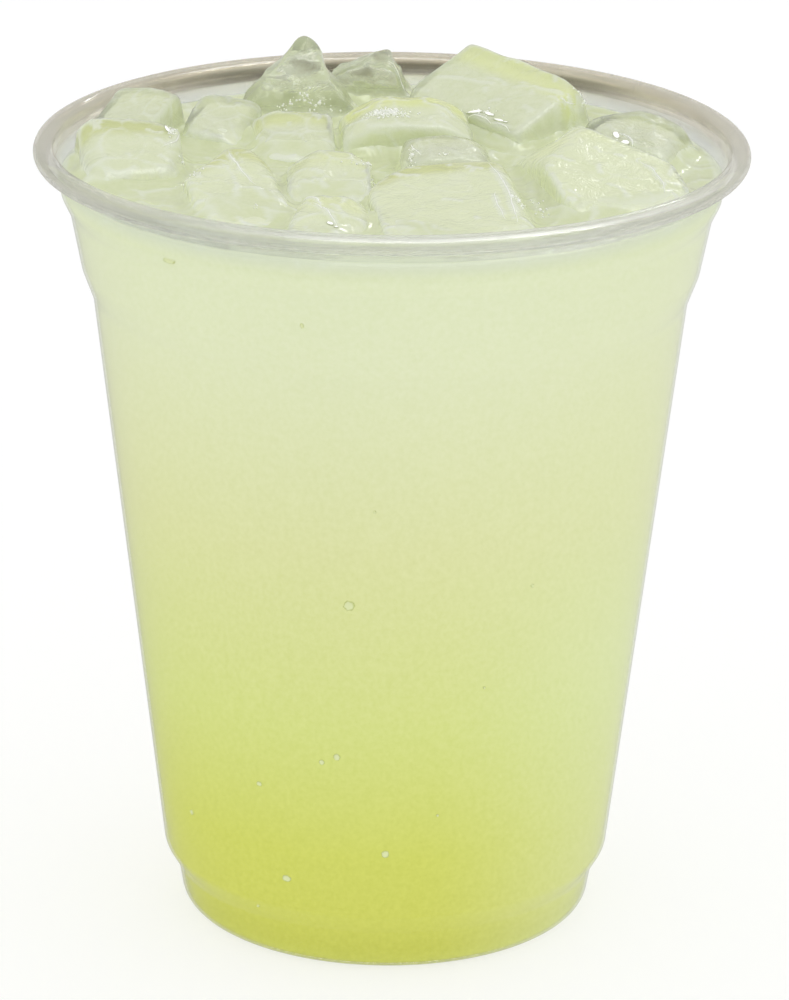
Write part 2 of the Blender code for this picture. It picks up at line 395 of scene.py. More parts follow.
# Colours
WHITE = (1.0, 1.0, 1.0, 1.0)
BLACK = (0.0, 0.0, 0.0, 1.0)
PLASTIC_CLEAN = srgb(252, 253, 250)
PLASTIC_BACK_SHADE = srgb(247, 243, 232)
PLASTIC_SHADE = srgb(134, 131, 114)
PLASTIC_HAZE = srgb(222, 219, 210)
PLASTIC_HIGHLIGHT = srgb(250, 250, 247)
PLASTIC_FILM = (0.97, 0.98, 0.97, 1.0)
DRINK_LIT = srgb(232, 241, 204)
DRINK_CREST = srgb(236, 241, 224)
ICE_GREY = srgb(212, 214, 200)
ICE_MILKY = srgb(233, 239, 204)
ICE_CREST = srgb(240, 244, 232)
ICE_WISP = srgb(240, 243, 230)
ICE_CLEAR = srgb(253, 254, 248)
ICE_FILM = (0.95, 0.96, 0.93, 1.0)
BAND_GREEN = srgb(229, 236, 168)
BAND_OLIVE = srgb(207, 213, 148)
WET_AND_LIT_EDGE = srgb(238, 243, 212)
FOAM_AND_HIGHLIGHT_WHITE = srgb(249, 251, 243)
GLINT_WHITE = srgb(255, 255, 252)
GLINT_EDGE = srgb(176, 182, 150)
BUBBLE_GREEN = srgb(228, 234, 182)
BUBBLE_EDGE = srgb(200, 207, 132)
FLOOR_GREY = (0.9, 0.9, 0.9, 1.0)

# How strongly each substance bends light
PLASTIC_IOR = 1.57
DRINK_IOR = 1.34
ICE_IOR = 1.31

# The drink's tone by share of its height. Its lowest stops are painted light and shade at the foot:
# a dark bottom edge, a bright strip in the foot's ring, then a darker band where the raised base shows.
DRINK_TONES = (
    (0.0, (170, 172, 66)),
    (0.012, (208, 212, 96)),
    (0.03, (206, 209, 88)),
    (0.07, (214, 217, 96)),
    (0.17, (216, 221, 102)),
    (0.35, (221, 229, 139)),
    (0.60, (228, 231, 171)),
    (0.85, (232, 237, 198)),
    (0.97, (232, 238, 201)),
    (1.0, (222, 229, 189)),
)

# Painted light: the drink's colour is paler on the side toward the window: across, height in metres, and
# how much.
LIT_ACROSS = (0.004, 0.034)
LIT_HEIGHTS = (0.090, 0.045)
LIT_SHARE = 0.42

# Painted shade: the rolled rim is dark inside at its back: radius, distance away and heights in metres.
ROLL_INSIDE = (0.0474, 0.0464)
ROLL_AWAY = (0.026, 0.042)
ROLL_HEIGHTS = (0.107, 0.113)
ROLL_SHADE = ((0.0, 0.0), (0.32, 0.0), (0.42, 0.8), (0.60, 0.9), (0.68, 0.0), (1.0, 0.0))

# The rim's bead is worn, painted greyer and warmer toward its back as shade, and has a painted highlight, a
# white line along its front left: places in metres.
BEAD_START = (0.108, 0.110)
BEAD_SHADE_AWAY = (-0.040, 0.046)
BEAD_STREAKS = (40.0, 40.0, 900.0)
BEAD_WEAR = (0.40, 0.66, 0.32)
BEAD_AWAY = (-0.012, -0.030)
BEAD_ACROSS = (-0.030, -0.008)
BEAD_HEIGHTS = (0.109, 0.112)
BEAD_HIGHLIGHT_STOPS = ((0.0, 0.0), (0.74, 0.0), (0.83, 0.5), (0.88, 0.5), (0.95, 0.0), (1.0, 0.0))
PLASTIC_THIN = 0.4

# Grain of each substance per metre, and how much of it shows.
DRINK_GRAIN = (1300.0, 0.30)
CORE_GRAIN = (420.0, 0.3)
ICE_GRAIN = 620.0

# Frost shows where the ice is clear. Crests are the whiter ridges, a painted highlight, on the ice also
# frost: from, to, and how much.
ICE_FROST = (0.25, 0.6, 0.8)
ICE_LEAST_FROST = 0.15
ICE_CRESTS = (0.15, 1.0, 0.8)
DRINK_CRESTS = (0.0, 1.0, 0.6)
ICE_CLEANNESS = 0.65

# Wet lines: number per metre and width. In the drink they show near its surface, by share of its height.
DRINK_LINES = (130.0, 0.10)
DRINK_LINES_SHOWN = (0.985, 0.995, 0.3)
ICE_LINES = (150.0, 0.12)
ICE_LINES_SHOWN = 0.25
LINE_BENDS = (0.006, 0.006, 0.003)
LINE_PATCHES = (0.45, 0.62)

# What shiny surfaces mirror, from the horizon up: height and brightness.
# The softbox is in front and on the right.
MIRRORED_TONES = ((0.0, 0.50), (0.38, 0.60), (0.68, 0.85), (1.0, 0.92))
SOFTBOX_TONES = ((0.0, 0.0), (0.74, 0.0), (0.80, 1.0), (0.92, 1.0), (0.97, 0.0))
SOFTBOX_STRENGTH = 7.0
SOFTBOX_TURN = 0.8
SOFTBOX_EDGE = (0.0, 0.3)
RIGHT_TILT = 0.2
EVEN_TONES = ((0.0, 1.0), (1.0, 0.86))

# What they mirror of the floor, from the left to the right in metres.
FLOOR_SIZE = 4.0
FLOOR_GLOW = 1.12
FLOOR_GLOW_SHARE = 0.6
FLOOR_ACROSS = (-0.3, 0.3)
MIRRORED_FLOOR = ((0.0, 0.62), (0.40, 0.52), (0.60, 0.70), (1.0, 0.66))

# The small window behind the cup and the camera: places in metres, turns in degrees.
WINDOW_PLACE = Vector((0.2, 0.8, 0.6))
WINDOW_TARGET = Vector((0.0, 0.0, 0.1))
WINDOW_SIZE = (0.10, 0.03)
WINDOW_POWER = 0.13
CAMERA_PLACE = (0.00083, -0.703, 0.3027)
CAMERA_TILT = 70.91
CAMERA_ROLL = 0.6
CAMERA_LENS = 190.5
CAMERA_SENSOR = 36.0


# Shader helpers

class Tree:
    """A node tree that is built by short calls."""

    def __init__(self, tree):
        self.tree = tree

    def add(self, kind, **settings):
        node = self.tree.nodes.new("ShaderNode" + kind)
        for name, value in settings.items():
            setattr(node, name, value)
        return node

    def feed(self, socket, value):
        """Links the socket to another one, or stores a number, colour or vector in it."""
        if isinstance(value, bpy.types.NodeSocket):
            self.tree.links.new(value, socket)
        else:
            socket.default_value = value

    def set(self, node, **values):
        for name, value in values.items():
            self.feed(node.inputs[name.replace("_", " ")], value)
        return node

    def place(self):
        """The place in the cup, in metres."""
        return self.add("TexCoord").outputs["Object"]

    def stored(self, name, output="Fac"):
        """What the mesh keeps at each of its points under this name."""
        return self.add("Attribute", attribute_name=name).outputs[output]

    def shader(self, **values):
        """The main shader. Nothing here is metal."""
        return self.set(self.add("BsdfPrincipled"), Metallic=0.0, **values).outputs[0]

    def show(self, shader):
        self.set(self.add("OutputMaterial"), Surface=shader)


def new_material(name):
    material = bpy.data.materials.new(name)
    material.use_nodes = True
    material.node_tree.nodes.clear()
    return material, Tree(material.node_tree)


def new_group(name, inputs, outputs):
    """A node group of these numbers and their usual values, which also takes the place as a vector."""
    group = bpy.data.node_groups.new(name, "ShaderNodeTree")
    group.interface.new_socket("Vector", in_out="INPUT", socket_type="NodeSocketVector")
    for socket_name, value in inputs.items():
        socket = group.interface.new_socket(socket_name, in_out="INPUT", socket_type="NodeSocketFloat")
        socket.default_value = value
    for socket_name in outputs:
        group.interface.new_socket(socket_name, in_out="OUTPUT", socket_type="NodeSocketFloat")
    return Tree(group), group.nodes.new("NodeGroupInput").outputs, group.nodes.new("NodeGroupOutput")


def ramp(tree, value, tones):
    """A colour ramp over the value. Its tones are screen colours, or single numbers from 0 to 1."""
    node = tree.set(tree.add("ValToRGB"), Fac=value)
    stops = node.color_ramp.elements
    while len(stops) < len(tones):
        stops.new(0.5)
    for stop, (position, tone) in zip(stops, tones):
        stop.position = position
        stop.color = srgb(*tone) if isinstance(tone, tuple) else (tone, tone, tone, 1.0)
    return node.outputs["Color"]


def rescaled(tree, value, low, high, top=1.0, smooth=False):
    """0 at the low value and the top number at the high one."""
    node = tree.add("MapRange", interpolation_type="SMOOTHSTEP" if smooth else "LINEAR")
    return tree.set(node, Value=value, From_Min=low, From_Max=high, To_Max=top).outputs["Result"]


def combined(tree, operation, *values, kind="Math"):
    """A Math or VectorMath node on values that are sockets, numbers or vectors."""
    node = tree.add(kind, operation=operation)
    for socket, value in zip(node.inputs, values):
        tree.feed(socket, value)
    return node.outputs[0]


def product(tree, value, *others):
    for other in others:
        value = combined(tree, "MULTIPLY", value, other)
    return value


def mixed_colors(tree, share, first, second, blend_type="MIX"):
    """The first colour where the share is 0, and the second, or its effect, where it is 1."""
    node = tree.add("Mix", data_type="RGBA", blend_type=blend_type)
    for index, value in ((0, share), (6, first), (7, second)):
        tree.feed(node.inputs[index], value)
    return node.outputs[2]


def mixed_shaders(tree, share, first, second):
    node = tree.add("MixShader")
    for socket, value in zip(node.inputs, (share, first, second)):
        tree.feed(socket, value)
    return node.outputs[0]


def object_parts(tree):
    """The X, Y and Z of the place in the cup, in metres, and its distance from the upright axis."""
    place = tree.place()
    parts = tree.set(tree.add("SeparateXYZ"), Vector=place)
    radius = tree.add("VectorMath", operation="LENGTH")
    tree.feed(radius.inputs[0], combined(tree, "MULTIPLY", place, (1.0, 1.0, 0.0), kind="VectorMath"))
    return *parts.outputs, radius.outputs["Value"]


def build_wet_grain():
    """Fine uneven speckle in a wet or misted surface: a value round 0.5."""
    tree, given, result = new_group("Wet grain", {"Scale": 900.0}, ("Speckle",))
    fine = tree.set(tree.add("TexNoise"), Vector=given["Vector"], Scale=given["Scale"])
    tree.set(fine, Detail=3.0, Roughness=0.6)
    tree.set(result, Speckle=fine.outputs["Fac"])
    return tree.tree


def build_wet_lines():
    """Thin uneven lines, as where two melted faces meet under a film of drink: 1 on a line and 0 off it."""
    tree, given, result = new_group("Wet lines", {"Scale": 120.0, "Width": 0.05}, ("Line",))
    place = given["Vector"]
    bend = tree.set(tree.add("TexNoise"), Vector=place, Scale=110.0, Detail=2.0).outputs["Color"]
    bent = combined(tree, "MULTIPLY_ADD", bend, LINE_BENDS, place, kind="VectorMath")
    cells = tree.add("TexVoronoi", feature="DISTANCE_TO_EDGE")
    tree.set(cells, Vector=bent, Scale=given["Scale"])
    near = rescaled(tree, cells.outputs["Distance"], given["Width"], 0.0, smooth=True)
    patches = tree.set(tree.add("TexNoise"), Vector=place, Scale=140.0, Detail=1.0).outputs["Fac"]
    tree.set(result, Line=product(tree, near, rescaled(tree, patches, *LINE_PATCHES, smooth=True)))
    return tree.tree


def with_speckle(tree, grain, color, scale, share):
    """The colour under fine uneven speckle."""
    node = tree.set(tree.add("Group", node_tree=grain), Vector=tree.place(), Scale=scale)
    return mixed_colors(tree, share, color, node.outputs["Speckle"], "SOFT_LIGHT")


def wet_lines(tree, lines, scale, width):
    node = tree.add("Group", node_tree=lines)
    return tree.set(node, Vector=tree.place(), Scale=scale, Width=width).outputs["Line"]


def let_light_through(tree, surface, tint):
    """The surface for sight, and a clear film for the light that falls through it onto what it covers."""
    path = tree.add("LightPath")
    either = combined(tree, "MAXIMUM", path.outputs["Is Shadow Ray"], path.outputs["Is Diffuse Ray"])
    film = tree.set(tree.add("BsdfTransparent"), Color=tint)
    tree.show(mixed_shaders(tree, either, surface, film.outputs[0]))


# Materials

def build_plastic():
    material, tree = new_material("clear_cup_plastic")
    across, away, height, radius = object_parts(tree)
    # Painted shade inside the roll, at its back.
    inside = rescaled(tree, radius, *ROLL_INSIDE, smooth=True)
    behind = rescaled(tree, away, *ROLL_AWAY, smooth=True)
    shade = product(tree, inside, behind, ramp(tree, rescaled(tree, height, *ROLL_HEIGHTS), ROLL_SHADE))
    bead = rescaled(tree, height, *BEAD_START)
    # Painted shade: the bead is greyer and warmer toward its back.
    back_shade = product(tree, bead, rescaled(tree, away, *BEAD_SHADE_AWAY))
    clean = mixed_colors(tree, shade, mixed_colors(tree, back_shade, PLASTIC_CLEAN, PLASTIC_BACK_SHADE), PLASTIC_SHADE)
    # Painted highlight: a white line along the bead's front left.
    front = product(tree, rescaled(tree, away, *BEAD_AWAY), rescaled(tree, across, *BEAD_ACROSS))
    line = product(tree, front, ramp(tree, rescaled(tree, height, *BEAD_HEIGHTS), BEAD_HIGHLIGHT_STOPS))
    stretched = tree.set(tree.add("Mapping"), Vector=tree.place(), Scale=BEAD_STREAKS).outputs["Vector"]
    streaks = tree.set(tree.add("TexNoise"), Vector=stretched, Scale=1.0, Detail=3.0).outputs["Fac"]
    worn = product(tree, bead, rescaled(tree, streaks, *BEAD_WEAR))
    glass = tree.shader(Base_Color=clean, Roughness=0.04, IOR=PLASTIC_IOR, Transmission_Weight=1.0)
    haze = tree.shader(Base_Color=PLASTIC_HAZE, Roughness=0.2, IOR=PLASTIC_IOR)
    white = tree.shader(Base_Color=PLASTIC_HIGHLIGHT, Roughness=0.3, IOR=PLASTIC_IOR)
    seen = mixed_shaders(tree, line, mixed_shaders(tree, worn, glass, haze), white)
    thin = tree.set(tree.add("BsdfTransparent"), Color=clean).outputs[0]
    let_light_through(tree, mixed_shaders(tree, PLASTIC_THIN, seen, thin), PLASTIC_FILM)
    return material


def build_lemonade(grain, lines):
    material, tree = new_material("cloudy_lemonade")
    across, _, height, _ = object_parts(tree)
    share = rescaled(tree, height, 0.0, LEVEL * MM)
    # Painted light: the drink's colour is paler low down on the side toward the window.
    toward_window = rescaled(tree, across, *LIT_ACROSS, LIT_SHARE, smooth=True)
    lit = product(tree, toward_window, rescaled(tree, height, *LIT_HEIGHTS))
    layered = mixed_colors(tree, lit, ramp(tree, share, DRINK_TONES), DRINK_LIT)
    grainy = with_speckle(tree, grain, layered, *DRINK_GRAIN)
    # Painted highlight: the drink's crests and lines are whiter.
    crest = rescaled(tree, tree.stored("ridge"), *DRINK_CRESTS)
    wisps = product(tree, wet_lines(tree, lines, *DRINK_LINES), rescaled(tree, share, *DRINK_LINES_SHOWN))
    pale = mixed_colors(tree, wisps, mixed_colors(tree, crest, grainy, DRINK_CREST), DRINK_CREST)
    tree.show(tree.shader(Base_Color=pale, Roughness=0.10, IOR=DRINK_IOR))
    return material


def build_ice(grain, lines):
    """Clear ice round a cloudy body, whiter along the ridges that melting leaves, as frost and painted
    highlight.
    """
    material, tree = new_material("melting_ice")
    clear = tree.stored("clear")
    tint = tree.stored("tint", "Color")
    frosty = combined(tree, "ADD", rescaled(tree, clear, *ICE_FROST), ICE_LEAST_FROST)
    grainy = with_speckle(tree, grain, tint, ICE_GRAIN, frosty)
    # Painted highlight and frost: the ice's ridges are whiter.
    crest = rescaled(tree, tree.stored("ridge"), *ICE_CRESTS)
    wisps = product(tree, wet_lines(tree, lines, *ICE_LINES), ICE_LINES_SHOWN)
    pale = mixed_colors(tree, wisps, mixed_colors(tree, crest, grainy, ICE_CREST), ICE_WISP)
    dents = tree.set(tree.add("TexNoise"), Vector=tree.place(), Scale=260.0, Detail=4.0)
    tree.set(dents, Roughness=0.65, Distortion=0.6)
    bump = tree.set(tree.add("Bump"), Height=dents.outputs["Fac"], Strength=0.5, Distance=0.9 * MM)
    dented = {"IOR": ICE_IOR, "Normal": bump.outputs["Normal"]}
    cloudy = tree.shader(Base_Color=pale, Roughness=0.10, **dented)
    clean = mixed_colors(tree, ICE_CLEANNESS, tint, ICE_CLEAR)
    glass = tree.shader(Base_Color=clean, Roughness=0.04, Transmission_Weight=1.0, **dented)
    let_light_through(tree, mixed_shaders(tree, clear, cloudy, glass), ICE_FILM)
    return material


def build_core_material(grain):
    """The cloudy middle of a block, full of trapped air."""
    material, tree = new_material("cloudy_ice_core")
    grainy = with_speckle(tree, grain, tree.stored("tint", "Color"), *CORE_GRAIN)
    tree.show(tree.shader(Base_Color=grainy, Roughness=0.8, IOR=ICE_IOR))
    return material


# White for the froth, and for the painted highlights along the ridges of the ice.
def build_foam_and_highlights():
    material, tree = new_material("white_foam_and_painted_highlights")
    tree.show(tree.shader(Base_Color=FOAM_AND_HIGHLIGHT_WHITE, Roughness=0.25, IOR=DRINK_IOR))
    return material


def build_spots(name, middle, edge, glow):
    """A spot with a darker edge. Given a glow, its middle glows, as a painted highlight."""
    material, tree = new_material(name)
    rim = tree.stored("edge")
    looks = {"Base_Color": mixed_colors(tree, rim, middle, edge), "Roughness": 0.05, "IOR": DRINK_IOR}
    if glow > 0.0:
        looks["Emission_Color"] = mixed_colors(tree, rim, (glow, glow, glow, 1.0), BLACK)
        looks["Emission_Strength"] = 1.0
    tree.show(tree.shader(**looks))
    return material


# Shape helpers

def add_piece(name, shape, material):
    """Turns a finished shape into an object of the part."""
    mesh = bpy.data.meshes.new(name)
    shape.to_mesh(mesh)
    shape.free()
    mesh.materials.append(material)
    mesh.shade_smooth()
    piece = bpy.data.objects.new(name, mesh)
    bpy.context.scene.collection.objects.link(piece)
    return piece


def settle(piece, slot, *nodes):
    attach(piece, "root")
    if nodes:
        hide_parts(*nodes)
    return piece


def share_between(low, high, value):
    """0 below the low value, 1 above the high one, and smooth in between."""
    part = min(max((value - low) / (high - low), 0.0), 1.0)
    return part * part * (3 - 2 * part)


def blend(first, second, share):
    return [a + (b - a) * share for a, b in zip(first, second)]


def bend_at(place):
    """Smooth noise in three directions, from -1 to 1."""
    return Vector(noise.noise(place + shift) for shift in BEND_SHIFTS)


def hollows(place, cell, bend_length, bend, kept_depth):
    """How far melting leaves a point above the hollows, each about one cell wide, that it makes."""
    near = noise.voronoi((place + bend_at(place / bend_length) * bend) / cell)[0]
    return near[0] * near[0] - kept_depth


def moved_inward(corners, distance):
    """The same corners on a line parallel to the first, on its left, as the inside of a wall is."""
    points = [Vector(corner[:2]) for corner in corners]
    moved = []
    for index, (radius, height, rounding) in enumerate(corners):
        sides = []
        for first, second in ((index - 1, index), (index, index + 1)):
            if first >= 0 and second < len(points):
                along = (points[second] - points[first]).normalized()
                sides.append(Vector((-along.y, along.x)))
        bisector = sum(sides, Vector((0.0, 0.0))).normalized()
        step = bisector * distance / bisector.dot(sides[0])
        if len(sides) == 2:
            turns_left = sides[0].cross(sides[1]) > 0
            rounding += -distance if turns_left else distance
        if radius == 0.0:
            step.x = 0.0
        moved.append((radius + step.x, height + step.y, max(rounding, TIGHTEST_ROUNDING)))
    return moved


def add_line(shape, points):
    """Adds a line through points that are a radius and a height."""
    line = [shape.verts.new((radius * MM, 0.0, height * MM)) for radius, height in points]
    for first, second in zip(line, line[1:]):
        shape.edges.new((first, second))
    return line


def outline(shape, corners):
    """Adds a line through the corners to the shape, with each corner bevelled to its own rounding."""
    points = add_line(shape, [corner[:2] for corner in corners])
    for index in range(1, len(corners) - 1):
        here = Vector(corners[index][:2])
        before = (Vector(corners[index - 1][:2]) - here).normalized()
        after = (Vector(corners[index + 1][:2]) - here).normalized()
        reach = corners[index][2] / math.tan(before.angle(after) / 2)
        bmesh.ops.bevel(
            shape, geom=[points[index]], offset=reach * MM, offset_type="OFFSET",
            segments=ROUND_STEPS, profile=0.5, affect="VERTICES", material=-1,
        )


def spin_round(shape, segments):
    """Turns a line into a closed surface about the upright axis."""
    bmesh.ops.spin(
        shape, geom=shape.verts[:] + shape.edges[:], cent=(0.0, 0.0, 0.0), axis=(0.0, 0.0, 1.0),
        angle=math.tau, steps=segments, use_merge=True, use_duplicate=False,
    )
    bmesh.ops.remove_doubles(shape, verts=shape.verts[:], dist=SEAM * MM / 10)
    bmesh.ops.recalc_face_normals(shape, faces=shape.faces[:])


# Where the drink meets the inside of the cup, and the part of that above the foot.
DRINK_CORNERS = moved_inward(CUP_CORNERS, WALL - SINK_INTO_WALL)
WALL_LINE = DRINK_CORNERS[4:]


def wall_radius(height):
    """How far from the upright axis the drink meets the wall, away from its rounded corners."""
    for (low_radius, low, _), (high_radius, high, _) in zip(WALL_LINE, WALL_LINE[1:]):
        if low <= height <= high:
            return low_radius + (high_radius - low_radius) * (height - low) / (high - low)
    return WALL_LINE[-1][0]


# The cup

def build_cup(plastic):
    shape = bmesh.new()
    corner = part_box("cup")[1]
    radius = corner.x / MM - ROLL_HALF_WIDTH
    height = corner.z / MM - ROLL_HALF_HEIGHT
    roll = []
    for step in range(ROLL_STEPS + 1):
        angle = math.pi + (ROLL_START - math.pi) * step / ROLL_STEPS
        roll.append((
            radius + ROLL_HALF_WIDTH * math.cos(angle),
            height + ROLL_HALF_HEIGHT * math.sin(angle),
            0.0,
        ))
    inner = moved_inward(CUP_CORNERS, WALL)
    outline(shape, inner[:-1] + [(*inner[-1][:2], ROLL_JOIN)] + roll)
    spin_round(shape, SEGMENTS)
    bmesh.ops.solidify(shape, geom=shape.faces[:], thickness=WALL * MM)
    bmesh.ops.recalc_face_normals(shape, faces=shape.faces[:])
    settle(add_piece("clear_cup", shape, plastic), "clear_plastic", "cup")


# The ice

class Form:
    """The surface of one block: its box, cut by breaks and random facets, then rounded and hollowed."""

    def __init__(self, name):
        self.block = ICE_BLOCKS[name]
        self.middle = Vector(self.block.middle)
        self.half = [side / 2 for side in self.block.size]
        self.turn = Euler([math.radians(angle) for angle in self.block.turn]).to_matrix()
        self.seed = sorted(ICE_BLOCKS).index(name)
        self.planes = [(Vector(direction).normalized(), reach) for direction, reach in self.block.breaks]
        self.planes += self.facets()
        self.squeeze = 1.0
        self.edges = {}
        probe = box_mesh(self.block.size, POCKET_STEP)
        top = max(self.point(vert.co)[1].z for vert in probe.verts)
        probe.free()
        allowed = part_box(name)[1].z / MM - TOP_MARGIN
        self.squeeze = min(1.0, (allowed - LEVEL) / (top - LEVEL))

    def facets(self):
        """Random flat faces, each a little inside the reach of the block in its own direction."""
        draw = random.Random(self.seed)
        power = self.block.sharpness / (self.block.sharpness - 1)
        planes = []
        for _ in range(FACETS):
            direction = Vector((draw.uniform(-1, 1), draw.uniform(-1, 1), draw.uniform(-0.1, 1)))
            direction.normalize()
            reach = sum(abs(part * side) ** power for part, side in zip(direction, self.half))
            reach = reach ** (1 / power)
            planes.append((direction, reach * (1 - self.block.scallop * draw.uniform(*FACET_DEPTH))))
        return planes

    def melted(self, share, depth):
        """Where a point of the box from -1 to 1 lies once its breaks and facets blend into each other."""
        sharpness = self.block.sharpness * ICE_CRISPNESS
        half = [side - depth for side in self.half]
        point = Vector(part * side for part, side in zip(share, half))
        fill = sum(abs(part / side) ** sharpness for part, side in zip(point, half))
        for normal, reach in self.planes:
            fill += max(0.0, point.dot(normal) / (reach - depth)) ** sharpness
        point = point * fill ** (-1 / sharpness)
        narrowing = 1 - ICE_TAPER * max(0.0, -point.z / half[2])
        point.x *= narrowing
        point.y *= narrowing
        return point

    def back_edge(self, across):
        """How far back the block's top edge lies, at a share of its width from -1 to 1."""
        key = round(across, 3)
        if key not in self.edges:
            self.edges[key] = self.melted(Vector((across, 1.0, 1.0)), 0.0).y
        return self.edges[key]

    def point(self, share, depth=0.0):
        """The point in the block's own axes and in the cup, on the surface or at a depth under it."""
        block = self.block
        local = self.melted(share, depth)
        if depth > 0.0:
            place = self.turn @ local + self.middle
            place += local.normalized() * noise.noise(place / CORE_LUMP_LENGTH) * CORE_LUMP
        else:
            if block.peak:
                direction, drawn_out, width = block.peak
                upward = Vector(direction).normalized()
                spread = local.angle(upward) / math.radians(width)
                local += upward * drawn_out * math.exp(-spread ** 2)
            place = self.turn @ local + self.middle
            pattern = place + PATTERN_STEP * self.seed
            cell = min(block.size) * SCALLOP_SHARE
            hollow = hollows(pattern, cell, *ICE_HOLLOWS) * block.scallop * HOLLOW
            ripple = noise.noise(pattern / RIPPLE_LENGTH) * RIPPLE
            place += (place - self.middle).normalized() * (hollow + ripple)
        if place.z > LEVEL:
            place.z = LEVEL + (place.z - LEVEL) * self.squeeze
        too_far = place.xy.length / (wall_radius(place.z) - WALL_CLEARANCE)
        if too_far > 1.0:
            place.xy = place.xy / too_far
        return local, place

    def green_at(self, across, local):
        """How green a point is, from 0 to 1, which it is along the block's back top edge."""
        green = share_between(BAND_WIDTH, BAND_WIDTH * 0.5, self.back_edge(across) - local.y)
        return green * share_between(*BAND_HEIGHTS, local.z / self.half[2]) * self.block.band

    def tone_at(self, across, local, height):
        """The cloudy colour at a point, with the band's green in it, and paler at the waterline, where it
        is wet and painted lighter against shade.
        """
        band = blend(BAND_GREEN, BAND_OLIVE, self.block.olive)
        face = blend(blend(ICE_GREY, ICE_MILKY, self.block.milk), band, self.green_at(across, local))
        return blend(WET_AND_LIT_EDGE, face, share_between(*WET_AND_LIT_HEIGHTS, height - LEVEL))


def box_mesh(size, step):
    """A fine cube from -1 to 1, with about one vertex to each step of the block."""
    shape = bmesh.new()
    bmesh.ops.create_cube(shape, size=2.0)
    cuts = math.ceil(max(size) / step)
    bmesh.ops.subdivide_edges(shape, edges=shape.edges[:], cuts=cuts, use_grid_fill=True)
    return shape


def wrinkles():
    """Faint short lines all over the ice and the drink, in the same form as the ridge lines, painted whiter
    as highlights.
    """
    draw = random.Random(WRINKLE_SEED)
    rows = []
    for _ in range(WRINKLES):
        away = WRINKLE_FIELD * math.sqrt(draw.random())
        round_cup = draw.uniform(0, math.tau)
        turn = math.radians(draw.uniform(*WRINKLE_TURN))
        length = draw.uniform(*WRINKLE_LENGTH)
        x, y = away * math.cos(round_cup), away * math.sin(round_cup)
        bow = length * draw.uniform(-WRINKLE_BOW, WRINKLE_BOW)
        width = draw.uniform(*WRINKLE_WIDTH)
        rows.append((x, y, x + length * math.cos(turn), y + length * math.sin(turn), bow, width))
    return tuple(rows)


def line_places():
    """The points of each bright line from above: lists of a place, its share of the line and a width."""
    for x0, y0, x1, y1, bow, width in RIDGE_LINES + wrinkles():
        start, end = Vector((x0, y0, 0.0)), Vector((x1, y1, 0.0))
        side = Vector((start.y - end.y, end.x - start.x, 0.0)).normalized()
        count = max(LINE_STEPS, math.ceil((end - start).length / LINE_STEP))
        line = []
        for step in range(count + 1):
            share = step / count
            spot = start.lerp(end, share) + side * bow * math.sin(math.pi * share)
            wiggle = bend_at(Vector((spot.x / LINE_WIGGLE_LENGTH, spot.y / LINE_WIGGLE_LENGTH, x0)))
            line.append((spot + Vector((wiggle.x, wiggle.y, 0.0)) * LINE_WIGGLE, share, width))
        yield line


def ridge_finder():
    """A test for how close a point, seen from above, is to the nearest line, from 0 to the line's width."""
    places = [place for line in line_places() for place in line]
    tree = KDTree(len(places))
    for index, (spot, _, _) in enumerate(places):
        tree.insert(spot, index)
    tree.balance()

    def strength(place):
        _, index, distance = tree.find(Vector((place.x, place.y, 0.0)))
        _, share, width = places[index]
        ends = share_between(0.0, LINE_FADE, share) * share_between(1.0, 1 - LINE_FADE, share)
        return width * ends * share_between(LINE_REACH * (LINE_SLIMMEST + width), 0.0, distance)

    return strength


def mark_ridges(shape, layer, verts, strength, lowest=0.0):
    """Stores how far each point stands out of its surroundings or lies on a line, from 0 to 1. The
    materials paint these points whiter: painted highlight, and frost on the ice.
    """
    sharp = [vert.co.copy() for vert in verts]
    for _ in range(RIDGE_PASSES):
        bmesh.ops.smooth_vert(
            shape, verts=verts, factor=0.5, use_axis_x=True, use_axis_y=True, use_axis_z=True,
        )
    shape.normal_update()
    for vert, kept in zip(verts, sharp):
        stand = (kept - vert.co).dot(vert.normal) / (RIDGE_SCALE * MM)
        vert.co = kept
        place = kept / MM
        line = LINE_WHITE * strength(place) if place.z > lowest else 0.0
        vert[layer] = min(max(stand, 0.0) + line, 1.0)


def build_ice_block(name, form, material, strength):
    """The clear outside of a block, with marks for its ridges, its clear parts and its colour."""
    shape = box_mesh(form.block.size, ICE_STEP)
    ridge = shape.verts.layers.float.new("ridge")
    clear = shape.verts.layers.float.new("clear")
    tint = shape.verts.layers.float_color.new("tint")
    clearest, cloudiest = CLEAR_SHARE
    glassy = clearest + (cloudiest - clearest) * form.block.milk
    for vert in shape.verts:
        local, place = form.point(vert.co)
        vert[tint] = form.tone_at(vert.co.x, local, place.z)
        near = strength(place) if place.z > LEVEL else 0.0
        cloudy_band = 1 - BAND_CLOUD * form.green_at(vert.co.x, local)
        vert.co = (place + Vector((0.0, 0.0, near * LINE_HEIGHT))) * MM
        vert[clear] = glassy * cloudy_band * share_between(*CLEAR_HEIGHTS, place.z - LEVEL)
    mark_ridges(shape, ridge, shape.verts[:], strength, LEVEL)
    return settle(add_piece(name.replace("ice_", "block_"), shape, material), "ice", name)


def build_core(name, form, material):
    """The cloudy middle, a little inside the block."""
    thin, thick = CORE_DEPTH
    depth = thin + (thick - thin) * (1 - form.block.milk)
    shape = box_mesh(form.block.size, CORE_STEP)
    tint = shape.verts.layers.float_color.new("tint")
    for vert in shape.verts:
        local, place = form.point(vert.co, depth)
        vert[tint] = form.tone_at(vert.co.x, local, place.z)
        vert.co = place * MM
    settle(add_piece(name.replace("ice_", "core_"), shape, material), "ice")


# The drink

